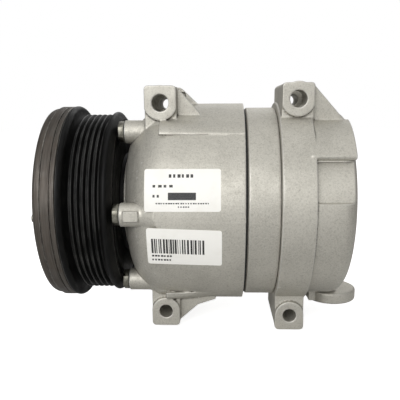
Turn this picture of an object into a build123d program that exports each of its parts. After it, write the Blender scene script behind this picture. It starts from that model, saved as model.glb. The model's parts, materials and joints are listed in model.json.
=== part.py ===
"""Variable-stroke wobble-plate compressor for car air conditioning, with its electromagnetic clutch.

X runs along the drive shaft: the pulley is towards -X and the rear head towards +X. Z is up.
The origin is on the shaft axis, in the middle plane of the belt. Lengths are in millimetres.
The wobble plate stands at its minimum-stroke position, square to the shaft.
"""
import os
from math import cos, radians, sin

from build123d import *

# ---------------------------------------------------------------- driving dimensions
GROOVE_PITCH = 3.56                      # PK belt profile
GROOVES = 6
GROOVE_DEPTH = 2.9
CREST_R = 60.3
GROOVE_HALF = 1.45                       # half width of a groove at its mouth, then at its floor
GROOVE_FLOOR = 0.35
BELT_HALF = GROOVE_PITCH * GROOVES / 2

RIM_REAR = 17.3                          # rear edge of the pulley rim
RIM_SHOULDER_R = 65.9
RIM_FRONT = -15.3
RIM_BORE_R = 54.8
FRICTION_X = -24.2                       # friction face of the rotor
ROTOR_R = 65.6
ARMATURE_R = 64.3
AIR_GAP = 0.4
ARMATURE_FRONT = -29.8
ARMATURE_BACK = FRICTION_X - AIR_GAP
ROTOR_WEB_BACK = -18.0
SPRING_ARMS = 3
SPRING_X = -28.7
SPRING_THICKNESS = 0.5
RIVET_CIRCLE_R = 36.0
RIVET_SHANK_R = 1.95
HUB_RIVET_ANGLE = 90.0
ARMATURE_RIVET_ANGLE = 150.0
BALANCE_RIVET = (57.5, 181.0)            # radius and polar angle
HUB_FRONT = -30.8
HUB_BACK = -5.0

COIL_FRONT = -9.0
COIL_BACK = 17.8
COIL_SEAT = 20.0
WINDING_BACK = 15.0
WINDING_RADII = (38.6, 49.4)

HEAD_FRONT = 23.0                        # front head, from its dome to the seam
SEAM = 98.0
HEAD_R = 67.2
DOME_ARC_R = 32.0
DOME_END = 54.0
HEAD_WALL = 5.8
LIP_Z = 48.6                             # underside of the lip on the near side

BLOCK_FRONT = 80.0
BLOCK_REAR = 119.0
BLOCK_R = 64.3
SEAM_GAP = 1.5
CYLINDERS = 5
CYLINDER_CIRCLE_R = 34.5
BORE_R = 17.0
FIRST_CYLINDER = 90.0                    # polar angle of the first cylinder, from +Y towards +Z

REAR_BAND_R = 67.7
REAR_BAND_END = 139.5
REAR_R = 62.2
REAR_OFFSET = -3.4                       # the rear part stands off centre towards the near side
REAR_END = 164.5
SIDE_RECESS_Z = (9.0, 32.4)
SIDE_RECESS_DEPTH = 2.6
RECESS_R = 62.4                          # recess for the valve plate
CHAMBER_FLOOR = 138.0
DISCHARGE_CHAMBER_R = 23.5
SUCTION_CHAMBER = (27.5, 51.0)

BOLT_CIRCLE_R = 56.5
BOLTS = 6
BOLT_PHASE = -1.0
BOLT_R = 3.9
BOLT_HOLE_R = 4.2
BOLT_FACE = 22.4                         # front face of the bolt bosses
BOLT_GASKET = 0.6
BOLT_HEAD = 3.8
BOLT_HEAD_FLATS = 12.0
BOLT_END = 136.0

# Mounting ears: place along X, hole height, outer edge height, pad radius, hole radius near and far
EAR_NEAR = -37.5
EAR_FAR = 14.0
EARS = {
    "front_upper": {"x": 45.8, "hole_z": 67.2, "edge_z": 77.6, "pad_r": 10.6, "hole_r": 5.2, "far_r": 3.4},
    "rear_upper": {"x": 130.6, "hole_z": 69.2, "edge_z": 79.0, "pad_r": 10.6, "hole_r": 5.2, "far_r": 3.4},
    "front_lower": {"x": 46.8, "hole_z": -68.4, "edge_z": -78.4, "pad_r": 9.3, "hole_r": 4.4, "far_r": 4.4},
    "rear_lower": {"x": 129.0, "hole_z": -71.0, "edge_z": -81.0, "pad_r": 9.5, "hole_r": 4.4, "far_r": 4.4},
}
EAR_STEP = -15.0                         # the hole is wider on the near side of this plane
EAR_HALF = 9.9
PAD_PROUD = 2.4                          # machined pad above the cast ear
EAR_POCKET_Y = (-21.0, -9.0)             # gap between the two lugs of an upper ear

CONNECTOR_ANGLE = 29.0                   # polar angle of the coil connector, midway between two bolts

NOSE_R = 20.0                            # bearing seat on the front head
NOSE_FRONT = -19.0
NOSE_BORE_R = 15.0
NOSE_STEP_R = 24.4                       # shoulder behind the bearing, and the bore of the coil seat
COIL_SEAT_R = 34.0
BEARING_FRONT = -16.0
BEARING_REAR = 8.0
BEARING_R = 31.0
BALL_CIRCLE_R = 25.5
BALL_R = 3.2
BALLS_PER_ROW = 14
RACE_DEPTH = 2.0

SHAFT_FRONT = -31.0
SHAFT_HUB_R = 6.5
SHAFT_SEAL_R = 8.5
SHAFT_R = 10.0
SHAFT_TAIL_R = 8.0
SHAFT_END = 108.0
RUNNING = 0.04                           # radial clearance of running fits

NEEDLE_R = 1.25
LUG_START = 44.0                         # drive lug, and the pin that joins it to the journal
LUG_END = 50.0
LUG_PIN_X = 53.6
LUG_PIN_Z = 21.0
JOURNAL_BORE_R = 13.0
JOURNAL_R = 22.0
TRUNNION_X = 67.0

PLATE_FRONT = 64.0                       # wobble plate
PLATE_REAR = 75.0
PLATE_R = 46.0
ROD_BALL_X = 71.0
ROD_BALL_R = 5.6
PISTON_BALL_X = 103.0
PISTON_BALL_R = 4.8
PISTON_CROWN = 118.6
PISTON_SKIRT = 94.6
RING_SEATS = (112.0, 115.2)
RING_WIDTH = 1.2
GUIDE_R = 51.0
GUIDE_ANGLE = -91.0                      # the guide pin runs midway between two bolts
GUIDE_PIN_R = 3.5
GUIDE_PIN_FRONT = 53.0

VALVE_PLATE_R = 60.6
REED_THICKNESS = 0.4
VALVE_PLATE_THICKNESS = 3.0
REAR_GASKET_THICKNESS = 1.5
DISCHARGE_HOLE_R = 21.2                  # radii at which the valve holes stand
SUCTION_HOLE_R = 42.0

PORT_FLANGE_X = 163.0                    # discharge port flange below the rear head
PORT_FLANGE_R = 17.6
PORT_BOTTOM = -70.5
PORT_FLANGE_THICKNESS = 8.0
PORT_HOLE_X = 155.0
PORT_HOLE_R = 7.0
PORT_HOLE_DEPTH = 14.0
PORT_PASSAGE_R = 5.0
PORT_NECK = (18.6, 24.0)                 # size of the neck above the flange, along X and Y
PORT_SCREW_X = 172.5
PORT_SCREW_R = 2.5
PORT_SCREW_DEPTH = 6.5
SUCTION_PORT_R = 9.5
SUCTION_PORT_Y = 20.0
SUCTION_PORT_Z = 30.0
SUCTION_PORT_FACE = 172.0
SUCTION_BOSS_R = 16.0
SUCTION_SCREW_Y = -6.0
SUCTION_SCREW_BOSS_R = 8.0
SUCTION_SCREW_R = 2.5
SUCTION_SCREW_DEPTH = 12.0
CONTROL_VALVE_X = 153.0
CONTROL_VALVE_Z = -30.0
CONTROL_VALVE_R = 8.0
CONTROL_VALVE_SEAT = 10.0
CONTROL_VALVE_FACE = 52.0
VALVE_GROOVES = (16.0, 26.0, 38.0)
VALVE_GROOVE_R = 6.6
VALVE_ROD_R = 2.4
RELIEF_X = 150.2
RELIEF_Z = 2.0
RELIEF_SEAT = 42.0
RELIEF_FACE = 58.4                       # spot face under the valve's hexagon
RELIEF_LIFT = 1.5

os.makedirs("parts", exist_ok=True)


# ---------------------------------------------------------------- helpers
def save(piece, name):
    """Label one finished sub-part and write it."""
    piece.part.label = name
    export_step(piece.part, f"parts/{name}.step")


def turned(*outline, mode=Mode.ADD):
    """Revolve a closed outline of (x, radius) points about the shaft axis."""
    with BuildSketch(Plane.XZ) as profile:
        with BuildLine():
            Polyline(*outline, close=True)
        make_face()
    revolve(profile.sketch, axis=Axis.X, mode=mode)


def ring(inner, outer, start, end, mode=Mode.ADD):
    """A plain ring about the shaft axis, or a disc where inner is zero."""
    with BuildSketch(Plane.YZ.offset(start)) as profile:
        Circle(outer)
        if inner > 0:
            Circle(inner, mode=Mode.SUBTRACT)
    extrude(profile.sketch, amount=end - start, mode=mode)


def round_bars(spots, radius, start, end, mode=Mode.ADD):
    """Round bars or holes along X, at polar spots about the shaft axis."""
    with BuildSketch(Plane.YZ.offset(start)) as profile:
        with spots:
            Circle(radius)
    extrude(profile.sketch, amount=end - start, mode=mode)


def polar_yz(radius, angle):
    """The (y, z) place at a polar angle from +Y towards +Z."""
    return radius * cos(radians(angle)), radius * sin(radians(angle))


def balls(spots, radius, tilt=0, mode=Mode.ADD):
    """Spheres at (x, y, z) spots, their poles along Z or tilted towards the shaft."""
    for spot in spots:
        with Locations(Location(spot, (0, tilt, 0))):
            Sphere(radius, mode=mode)


def spots_round(x, circle_r, count, first=0.0):
    """Evenly spaced (x, y, z) spots on a circle about the shaft axis."""
    return [(x, *polar_yz(circle_r, first + index * 360 / count)) for index in range(count)]


def arms(angle):
    """The rivet at one end of every leaf spring."""
    return PolarLocations(RIVET_CIRCLE_R, SPRING_ARMS, start_angle=angle)


def o_ring(x, radius, section, mode=Mode.ADD):
    """A round-section ring or groove about the shaft axis."""
    with BuildSketch(Plane.XZ) as profile:
        with Locations((x, radius)):
            Circle(section)
    revolve(profile.sketch, axis=Axis.X, mode=mode)


def turned_along_y(x, z, *outline, mode=Mode.ADD):
    """Revolve an outline of (radius, y) points about a line along Y through (x, z)."""
    with BuildSketch(Plane(origin=(x, 0, z), x_dir=(1, 0, 0), z_dir=(0, 0, 1))) as profile:
        with BuildLine():
            Polyline(*outline, close=True)
        make_face()
    revolve(profile.sketch, axis=Axis((x, 0, z), (0, 1, 0)), mode=mode)


def bar_along_y(x, z, radius, start, end, mode=Mode.ADD):
    """A round bar or hole along Y, from start to end."""
    with BuildSketch(Plane.XZ.offset(-start)) as profile:
        with Locations((x, z)):
            Circle(radius)
    extrude(profile.sketch, amount=start - end, mode=mode)


def hole_along_z(x, radius, start, end):
    """A round hole along Z in the middle plane, from start up to end."""
    with BuildSketch(Plane.XY.offset(start)) as profile:
        with Locations((x, 0)):
            Circle(radius)
    extrude(profile.sketch, amount=end - start, mode=Mode.SUBTRACT)


def radial_needles(count, middle_r, length, x, radius):
    """Needle rollers of a thrust bearing, lying along radii."""
    for index in range(count):
        angle = index * 360 / count
        y, z = polar_yz(middle_r, angle)
        with Locations(Location((x, y, z), (angle - 90, 0, 0))):
            Cylinder(radius, length)


def bolt_spots():
    """The through bolts."""
    return PolarLocations(BOLT_CIRCLE_R, BOLTS, start_angle=BOLT_PHASE)


def cylinder_spots(radius=CYLINDER_CIRCLE_R):
    """One place for every cylinder."""
    return PolarLocations(radius, CYLINDERS, start_angle=FIRST_CYLINDER)


def connector_slot():
    """The notch in the coil housing through which the connector reaches the winding."""
    y, z = polar_yz(50.0, CONNECTOR_ANGLE)
    with Locations(Location((16.6, y, z), (CONNECTOR_ANGLE, 0, 0))):
        Box(5.2, 10.4, 10.4, mode=Mode.SUBTRACT)


def ear(spec, root_z):
    """One cast mounting ear with its machined pad, solid before the hole is bored."""
    x, hole_z, edge_z, pad_r = spec["x"], spec["hole_z"], spec["edge_z"], spec["pad_r"]
    body_near = EAR_NEAR + PAD_PROUD
    half = min(EAR_HALF, pad_r)
    with BuildSketch(Plane.XZ.offset(-body_near)) as body:
        with Locations((x, (edge_z + root_z) / 2)):
            RectangleRounded(2 * half, abs(edge_z - root_z), 3.0)
    extrude(body.sketch, amount=body_near - EAR_FAR)
    with BuildSketch(Plane.XZ.offset(-EAR_NEAR)) as pad:
        with Locations((x, hole_z)):
            Circle(pad_r)
        with Locations((x, (hole_z + edge_z) / 2)):
            RectangleRounded(2 * half, abs(edge_z - hole_z), 2.4)
        with Locations((x, hole_z)):
            Rectangle(2 * half, 3 * pad_r, mode=Mode.INTERSECT)
    extrude(pad.sketch, amount=-PAD_PROUD - 2)


def ear_hole(spec):
    """The mounting hole along Y, through the whole ear."""
    bar_along_y(spec["x"], spec["hole_z"], spec["hole_r"], EAR_NEAR - 1, EAR_STEP, mode=Mode.SUBTRACT)
    bar_along_y(spec["x"], spec["hole_z"], spec["far_r"], EAR_STEP - 1, EAR_FAR + 1, mode=Mode.SUBTRACT)


def ear_pocket(start, end, floor, roof):
    """The gap cast between the two lugs of an upper ear."""
    with Locations((start, EAR_POCKET_Y[0], floor)):
        Box(end - start, EAR_POCKET_Y[1] - EAR_POCKET_Y[0], roof - floor,
            align=(Align.MIN, Align.MIN, Align.MIN), mode=Mode.SUBTRACT)


def web(near, far, *outline):
    """A flat rib in the XZ plane, from near to far along Y."""
    with BuildSketch(Plane.XZ.offset(-near)) as rib:
        with BuildLine():
            Polyline(*outline, close=True)
        make_face()
    extrude(rib.sketch, amount=near - far)


# ---------------------------------------------------------------- front head
with BuildPart() as front_head:
    # Bolt bosses that widen into lobes on the dome, trimmed to the round wall
    for index in range(BOLTS):
        y, z = polar_yz(BOLT_CIRCLE_R, BOLT_PHASE + index * 360 / BOLTS)
        with Locations(Location((BOLT_FACE, y, z), (0, 90, 0))):
            Cylinder(7.3, 34, align=(Align.CENTER, Align.CENTER, Align.MIN))
        with Locations(Location((27.0, y * 0.97, z * 0.97), (0, 90, 0))):
            Cone(5.0, 20.0, 34.0, align=(Align.CENTER, Align.CENTER, Align.MIN))
    # Small flat on the near boss
    with Locations((29.5, -61.5, polar_yz(BOLT_CIRCLE_R, 180 + BOLT_PHASE)[1])):
        Box(9.0, 5.8, 6.4)
    with BuildSketch(Plane.YZ):
        Circle(HEAD_R - 0.2)
    extrude(amount=SEAM, mode=Mode.INTERSECT)
    with BuildSketch(Plane.XZ):
        with BuildLine():
            dome_low = HEAD_R - DOME_ARC_R + (DOME_ARC_R ** 2 - (DOME_END - HEAD_FRONT) ** 2) ** 0.5
            RadiusArc((HEAD_FRONT, dome_low), (DOME_END, HEAD_R), DOME_ARC_R)
            Polyline((DOME_END, HEAD_R), (SEAM, HEAD_R), (SEAM, 0), (HEAD_FRONT, 0), (HEAD_FRONT, dome_low))
        make_face()
    revolve(axis=Axis.X)
    for name, root in (("front_upper", 40.0), ("front_lower", -40.0)):
        ear(EARS[name], root)
    # Lip along the upper near side, dying out towards the seam
    with BuildSketch(Plane.YZ.offset(45.6)):
        with BuildLine():
            Polyline((0, LIP_Z), (-48.2, LIP_Z), (-47.4, 50.4))
            ThreePointArc((-47.4, 50.4), (-43.5, 53.6), (-36.5, 56.6))
            Polyline((-36.5, 56.6), (0, 56.6), (0, LIP_Z))
        make_face()
    with BuildSketch(Plane.YZ.offset(SEAM)):
        with BuildLine():
            Polyline((0, LIP_Z), (-46.9, LIP_Z), (-46.6, 49.2))
            ThreePointArc((-46.6, 49.2), (-43.5, 51.8), (-38.0, 55.4))
            Polyline((-38.0, 55.4), (0, 55.4), (0, LIP_Z))
        make_face()
    loft()
    # Ledge along the lower near side
    with BuildSketch(Plane.YZ.offset(48.0)):
        with BuildLine():
            Polyline((-20, -53.0), (-45.0, -53.0), (-44.2, -56.6), (-30, -63.4), (-10, -66.5), close=True)
        make_face()
    with BuildSketch(Plane.YZ.offset(82.0)):
        with BuildLine():
            Polyline((-20, -54.6), (-38.6, -54.6), (-36.6, -56.0), (-24, -62.4), (-10, -66.0), close=True)
        make_face()
    loft()
    # Gusset ribs behind the ears
    web(-31.0, -25.5, (50, 77.0), (55.6, 77.0), (73.0, 57.4), (73.0, 50), (50, 50))
    web(-11.5, 12.0, (50, 77.4), (56.4, 77.4), (69.5, 65.0), (69.5, 50), (50, 50))
    web(-31.0, 8.0, (50, -77.4), (56.0, -76.6), (68.0, -66.0), (80.0, -62.0), (80.0, -50), (50, -50))
    # Crankcase
    turned((40, 0), (40, 34), (48, 50), (60, HEAD_R - HEAD_WALL), (SEAM, HEAD_R - HEAD_WALL), (SEAM, 0),
           mode=Mode.SUBTRACT)
    for index in range(BOLTS):
        y, z = polar_yz(BOLT_CIRCLE_R, BOLT_PHASE + index * 360 / BOLTS)
        with Locations(Location((36.0, y, z), (0, 90, 0))):
            Cylinder(6.6, BLOCK_FRONT - 36.6, align=(Align.CENTER, Align.CENTER, Align.MIN))
    ring(0, 25.2, HEAD_FRONT, 40.0)
    # Nose that carries the pulley bearing, and the coil seat behind it
    turned((NOSE_FRONT, NOSE_R), (BEARING_REAR + 0.2, NOSE_R), (BEARING_REAR + 0.2, 24.4), (15.2, 24.4),
           (15.2, 25.5), (20.2, 25.5), (20.2, 34.0), (HEAD_FRONT + 1, 34.0), (HEAD_FRONT + 1, 0),
           (NOSE_FRONT, 0))
    turned((-17.7, 18.9), (-16.2, 18.9), (-16.2, NOSE_R + 1), (-17.7, NOSE_R + 1), mode=Mode.SUBTRACT)
    ring(0, NOSE_BORE_R, NOSE_FRONT - 1, 22.0, mode=Mode.SUBTRACT)
    ring(0, NOSE_BORE_R + 1.3, 1.6, 3.2, mode=Mode.SUBTRACT)
    ring(0, 13.0, 22.0, 41.0, mode=Mode.SUBTRACT)
    round_bars(bolt_spots(), BOLT_HOLE_R, BOLT_FACE - 1, SEAM + 1, mode=Mode.SUBTRACT)
    ear_pocket(38.6, 60.0, 60.5, 74.5)
    for name in ("front_upper", "front_lower"):
        ear_hole(EARS[name])
save(front_head, "front_head")

# ---------------------------------------------------------------- cylinder block
with BuildPart() as cylinder_block:
    ring(0, HEAD_R - HEAD_WALL - 0.1, BLOCK_FRONT, SEAM)
    ring(0, BLOCK_R - 2.3, SEAM, SEAM + SEAM_GAP)
    ring(0, BLOCK_R, SEAM + SEAM_GAP, BLOCK_REAR)
    round_bars(cylinder_spots(), BORE_R, BLOCK_FRONT - 1, BLOCK_REAR + 1, mode=Mode.SUBTRACT)
    round_bars(bolt_spots(), BOLT_HOLE_R, BLOCK_FRONT - 1, BLOCK_REAR + 1, mode=Mode.SUBTRACT)
    ring(0, 11.0, BLOCK_FRONT - 1, 110.0, mode=Mode.SUBTRACT)
    ring(0, 4.0, 109.0, BLOCK_REAR + 1, mode=Mode.SUBTRACT)
save(cylinder_block, "cylinder_block")

# ---------------------------------------------------------------- valve plate stack
reed_rear = BLOCK_REAR + REED_THICKNESS
plate_rear = reed_rear + VALVE_PLATE_THICKNESS
discharge_rear = plate_rear + REED_THICKNESS
stack_rear = discharge_rear + REAR_GASKET_THICKNESS

with BuildPart() as suction_reed_plate:
    ring(3.0, VALVE_PLATE_R, BLOCK_REAR, reed_rear)
    round_bars(bolt_spots(), BOLT_HOLE_R, BLOCK_REAR - 1, reed_rear + 1, mode=Mode.SUBTRACT)
    round_bars(cylinder_spots(DISCHARGE_HOLE_R), 2.6, BLOCK_REAR - 1, reed_rear + 1, mode=Mode.SUBTRACT)
    # A U-shaped cut frees each suction reed
    with BuildSketch(Plane.YZ.offset(BLOCK_REAR - 1)):
        with PolarLocations(SUCTION_HOLE_R - 3.5, CYLINDERS, start_angle=FIRST_CYLINDER):
            SlotCenterToCenter(9.0, 11.5)
            SlotCenterToCenter(9.0, 9.5, mode=Mode.SUBTRACT)
            with Locations((-8.6, 0)):
                Rectangle(4.6, 12.0, mode=Mode.SUBTRACT)
    extrude(amount=REED_THICKNESS + 2, mode=Mode.SUBTRACT)
save(suction_reed_plate, "suction_reed_plate")

with BuildPart() as valve_plate:
    ring(3.0, VALVE_PLATE_R, reed_rear, plate_rear)
    round_bars(bolt_spots(), BOLT_HOLE_R, reed_rear - 1, plate_rear + 1, mode=Mode.SUBTRACT)
    round_bars(cylinder_spots(DISCHARGE_HOLE_R), 2.4, reed_rear - 1, plate_rear + 1, mode=Mode.SUBTRACT)
    round_bars(cylinder_spots(SUCTION_HOLE_R), 3.6, reed_rear - 1, plate_rear + 1, mode=Mode.SUBTRACT)
save(valve_plate, "valve_plate")

with BuildPart() as discharge_reeds:
    ring(6.0, 12.0, plate_rear, discharge_rear)
    with BuildSketch(Plane.YZ.offset(plate_rear)):
        with cylinder_spots(16.5):
            SlotOverall(15.0, 7.2)
    extrude(amount=REED_THICKNESS)
save(discharge_reeds, "discharge_reeds")

with BuildPart() as reed_retainer:
    ring(6.0, 12.0, discharge_rear, discharge_rear + 1.2)
    with BuildSketch(Plane.YZ.offset(discharge_rear + 0.5)):
        with cylinder_spots(16.0):
            SlotOverall(14.0, 6.4)
    extrude(amount=1.2)
save(reed_retainer, "reed_retainer")

with BuildPart() as rear_gasket:
    ring(24.0, VALVE_PLATE_R, plate_rear, stack_rear)
    round_bars(bolt_spots(), BOLT_HOLE_R, plate_rear - 1, stack_rear + 1, mode=Mode.SUBTRACT)
    round_bars(cylinder_spots(SUCTION_HOLE_R), 5.0, plate_rear - 1, stack_rear + 1, mode=Mode.SUBTRACT)
save(rear_gasket, "rear_gasket")

# ---------------------------------------------------------------- rear head
with BuildPart() as rear_head:
    with BuildSketch(Plane.YZ.offset(REAR_BAND_END - 4)):
        with Locations((REAR_OFFSET, 0)):
            Circle(REAR_R)
    extrude(amount=REAR_END - REAR_BAND_END + 4)
    fillet(rear_head.edges().filter_by(GeomType.CIRCLE).sort_by(Axis.X)[-1], 8.5)
    # Long ridge above the side recess
    with BuildSketch(Plane.YZ.offset(REAR_BAND_END - 3)):
        with BuildLine():
            Line((0, 33.6), (-55.6, 33.6))
            ThreePointArc((-55.6, 33.6), (-57.3, 34.3), (-57.9, 36.2))
            ThreePointArc((-57.9, 36.2), (-48.5, 46.5), (-30.0, 56.6))
            Polyline((-30.0, 56.6), (0, 56.6), (0, 33.6))
        make_face()
    extrude(amount=REAR_END - REAR_BAND_END + 1.5)
    ring(0, REAR_BAND_R, BLOCK_REAR + 0.2, REAR_BAND_END)
    for name, root in (("rear_upper", 40.0), ("rear_lower", -40.0)):
        ear(EARS[name], root)
    web(-31.0, 10.0, (130, 78.6), (141.2, 77.4), (160.0, 56.6), (160.0, 45), (130, 45))
    web(-24.0, 12.0, (119.4, -50), (119.4, -64), (123.0, -79.5), (130, -79.5), (130, -50))
    # Side recess
    with BuildSketch(Plane.YZ.offset(REAR_BAND_END)):
        with Locations((-75, SIDE_RECESS_Z[0])):
            Rectangle(45, SIDE_RECESS_Z[1] - SIDE_RECESS_Z[0], align=(Align.MIN, Align.MIN))
        with Locations((REAR_OFFSET, 0)):
            Circle(REAR_R - SIDE_RECESS_DEPTH, mode=Mode.SUBTRACT)
    extrude(amount=40, mode=Mode.SUBTRACT)
    # Port flange below the rear end, with its neck
    port_top = PORT_BOTTOM + PORT_FLANGE_THICKNESS
    port_edge = PORT_FLANGE_X + PORT_FLANGE_R
    with BuildSketch(Plane.XZ):
        with BuildLine():
            Polyline((PORT_FLANGE_X, PORT_BOTTOM), (port_edge - 0.8, PORT_BOTTOM),
                     (port_edge, PORT_BOTTOM + 0.8), (port_edge, port_top - 1.6))
            RadiusArc((port_edge, port_top - 1.6), (port_edge - 1.6, port_top), -1.6)
            Polyline((port_edge - 1.6, port_top), (PORT_FLANGE_X, port_top), (PORT_FLANGE_X, PORT_BOTTOM))
        make_face()
    revolve(axis=Axis((PORT_FLANGE_X, 0, 0), (0, 0, 1)))
    with BuildSketch(Plane.XY.offset(PORT_BOTTOM + 1)):
        with Locations((PORT_HOLE_X, 0)):
            Rectangle(*PORT_NECK)
    extrude(amount=20)
    # Suction port boss on the end face
    with BuildSketch(Plane.YZ.offset(REAR_END - 2)):
        with Locations((SUCTION_PORT_Y, SUCTION_PORT_Z)):
            Circle(SUCTION_BOSS_R)
        with Locations((SUCTION_SCREW_Y, SUCTION_PORT_Z)):
            Circle(SUCTION_SCREW_BOSS_R)
        make_hull()
    extrude(amount=SUCTION_PORT_FACE - REAR_END + 2)
    # Boss round the control valve, on the far side
    bar_along_y(CONTROL_VALVE_X, CONTROL_VALVE_Z, 11.3, 30, 56)
    ear_pocket(124.4, 137.0, 61.0, 82.0)
    # Chambers and passages
    ring(0, RECESS_R, BLOCK_REAR - 1, stack_rear, mode=Mode.SUBTRACT)
    ring(0, DISCHARGE_CHAMBER_R, stack_rear - 1, CHAMBER_FLOOR, mode=Mode.SUBTRACT)
    ring(0, 17.0, CHAMBER_FLOOR - 1, 152.0, mode=Mode.SUBTRACT)
    ring(SUCTION_CHAMBER[0], SUCTION_CHAMBER[1], stack_rear - 1, CHAMBER_FLOOR, mode=Mode.SUBTRACT)
    round_bars(bolt_spots(), BOLT_R + 0.02, stack_rear - 1, BOLT_END + 1.5, mode=Mode.SUBTRACT)
    with BuildSketch(Plane.YZ.offset(CHAMBER_FLOOR - 1)):
        with Locations((SUCTION_PORT_Y, SUCTION_PORT_Z)):
            Circle(SUCTION_PORT_R)
    extrude(amount=60, mode=Mode.SUBTRACT)
    with BuildSketch(Plane.YZ.offset(SUCTION_PORT_FACE + 1)):
        with Locations((SUCTION_SCREW_Y, SUCTION_PORT_Z)):
            Circle(SUCTION_SCREW_R)
    extrude(amount=-SUCTION_SCREW_DEPTH - 1, mode=Mode.SUBTRACT)
    hole_along_z(PORT_HOLE_X, PORT_HOLE_R, PORT_BOTTOM - 1, PORT_BOTTOM + PORT_HOLE_DEPTH)
    hole_along_z(PORT_HOLE_X, PORT_PASSAGE_R, PORT_BOTTOM + 1, -10)
    hole_along_z(PORT_SCREW_X, PORT_SCREW_R, PORT_BOTTOM - 1, PORT_BOTTOM + PORT_SCREW_DEPTH)
    bar_along_y(CONTROL_VALVE_X, CONTROL_VALVE_Z, CONTROL_VALVE_R + 0.05, CONTROL_VALVE_SEAT, 90,
                mode=Mode.SUBTRACT)
    bar_along_y(CONTROL_VALVE_X, CONTROL_VALVE_Z, 9.2, 52.3, 53.7, mode=Mode.SUBTRACT)
    bar_along_y(RELIEF_X, RELIEF_Z, 2.0, 15, 95, mode=Mode.SUBTRACT)
    bar_along_y(RELIEF_X, RELIEF_Z, 6.05, RELIEF_SEAT, 102, mode=Mode.SUBTRACT)
    bar_along_y(RELIEF_X, RELIEF_Z, 10.4, RELIEF_FACE - 0.1, 70, mode=Mode.SUBTRACT)
    for name in ("rear_upper", "rear_lower"):
        ear_hole(EARS[name])
save(rear_head, "rear_head")

# ---------------------------------------------------------------- seals between the castings
with BuildPart() as front_o_ring:
    o_ring(SEAM + SEAM_GAP / 2, BLOCK_R - 2.3 + 0.74, 0.72)
save(front_o_ring, "front_o_ring")

with BuildPart() as rear_o_ring:
    o_ring(121.0, 61.5, 0.8)
save(rear_o_ring, "rear_o_ring")

# ---------------------------------------------------------------- through bolts
head_rear = BOLT_FACE - BOLT_GASKET
with BuildPart() as through_bolts:
    with BuildSketch(Plane.YZ.offset(head_rear - BOLT_HEAD)):
        with bolt_spots():
            RegularPolygon(BOLT_HEAD_FLATS / 2, 6, major_radius=False, rotation=90)
    extrude(amount=BOLT_HEAD)
    with BuildSketch(Plane.YZ.offset(head_rear - BOLT_HEAD)):
        with bolt_spots():
            Circle(BOLT_HEAD_FLATS / 2 + 0.7)
    extrude(amount=BOLT_HEAD, mode=Mode.INTERSECT)
    chamfer(through_bolts.edges().group_by(Axis.X)[0], 0.5)
    round_bars(bolt_spots(), BOLT_R, head_rear, BOLT_END)
save(through_bolts, "through_bolts")

with BuildPart() as bolt_gaskets:
    with BuildSketch(Plane.YZ.offset(head_rear)):
        with bolt_spots():
            Circle(BOLT_HEAD_FLATS / 2 - 0.4)
            Circle(BOLT_HOLE_R, mode=Mode.SUBTRACT)
    extrude(amount=BOLT_GASKET)
save(bolt_gaskets, "bolt_gaskets")

# ---------------------------------------------------------------- clutch coil
with BuildPart() as coil_housing:
    turned((COIL_FRONT, 36.2), (COIL_FRONT, 38.4), (15.2, 38.4), (15.2, 49.6), (COIL_FRONT, 49.6),
           (COIL_FRONT, 51.8), (COIL_BACK - 1, 51.8), (COIL_BACK, 50.8), (COIL_BACK, 34.0), (COIL_SEAT, 34.0),
           (COIL_SEAT, 25.6), (15.2, 25.6), (15.2, 36.2))
    connector_slot()
save(coil_housing, "coil_housing")

with BuildPart() as coil_winding:
    ring(*WINDING_RADII, COIL_FRONT + 1.0, WINDING_BACK)
    fillet(coil_winding.edges(), 0.6)
save(coil_winding, "coil_winding")

with BuildPart() as coil_retaining_ring:
    ring(24.5, 29.0, 13.4, 15.1)
    with Locations((14.2, 0, 27)):
        Box(4, 7, 8, mode=Mode.SUBTRACT)
save(coil_retaining_ring, "coil_retaining_ring")

connector_plane = Plane(origin=(0, 0, 0), x_dir=(1, 0, 0),
                        z_dir=(0, cos(radians(CONNECTOR_ANGLE)), sin(radians(CONNECTOR_ANGLE))))
with BuildPart() as coil_connector:
    with BuildSketch(connector_plane.offset(45.0)):
        with Locations((17.6, 0)):
            Rectangle(4.0, 10.0)
    extrude(amount=8.8)
    with BuildSketch(connector_plane.offset(53.0)):
        with Locations((20.6, 0)):
            RectangleRounded(5.4, 14.0, 1.2)
    extrude(amount=5.5)
    with BuildSketch(connector_plane.offset(58.0)):
        with Locations((23.6, 0)):
            RectangleRounded(11.4, 19.0, 2.0)
    extrude(amount=15.0)
    with BuildSketch(connector_plane.offset(60.0)):
        with Locations((23.6, 0)):
            RectangleRounded(8.8, 16.4, 1.2)
    extrude(amount=14.0, mode=Mode.SUBTRACT)
    with BuildSketch(connector_plane.offset(66.0)):
        with Locations((30.0, 0)):
            RectangleRounded(3.0, 6.0, 0.8)
    extrude(amount=4.0)
    with BuildSketch(connector_plane.offset(50.0)):
        with Locations((23.6, 3.2), (23.6, -3.2)):
            Rectangle(0.9, 2.6)
    extrude(amount=20.0, mode=Mode.SUBTRACT)
save(coil_connector, "coil_connector")

with BuildPart() as connector_terminals:
    with BuildSketch(connector_plane.offset(58.6)):
        with Locations((23.6, 3.2), (23.6, -3.2)):
            Rectangle(0.8, 2.5)
    extrude(amount=8.2)
save(connector_terminals, "connector_terminals")

# ---------------------------------------------------------------- pulley bearing
ball_rows = (BEARING_FRONT + 6.4, BEARING_REAR - 6.4)
ball_places = [spot for row in ball_rows for spot in spots_round(row, BALL_CIRCLE_R, BALLS_PER_ROW)]
with BuildPart() as bearing_inner_ring:
    ring(NOSE_R, BALL_CIRCLE_R - BALL_R + RACE_DEPTH, BEARING_FRONT, BEARING_REAR)
    for row in ball_rows:
        o_ring(row, BALL_CIRCLE_R, BALL_R + RUNNING, mode=Mode.SUBTRACT)
save(bearing_inner_ring, "bearing_inner_ring")

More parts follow.
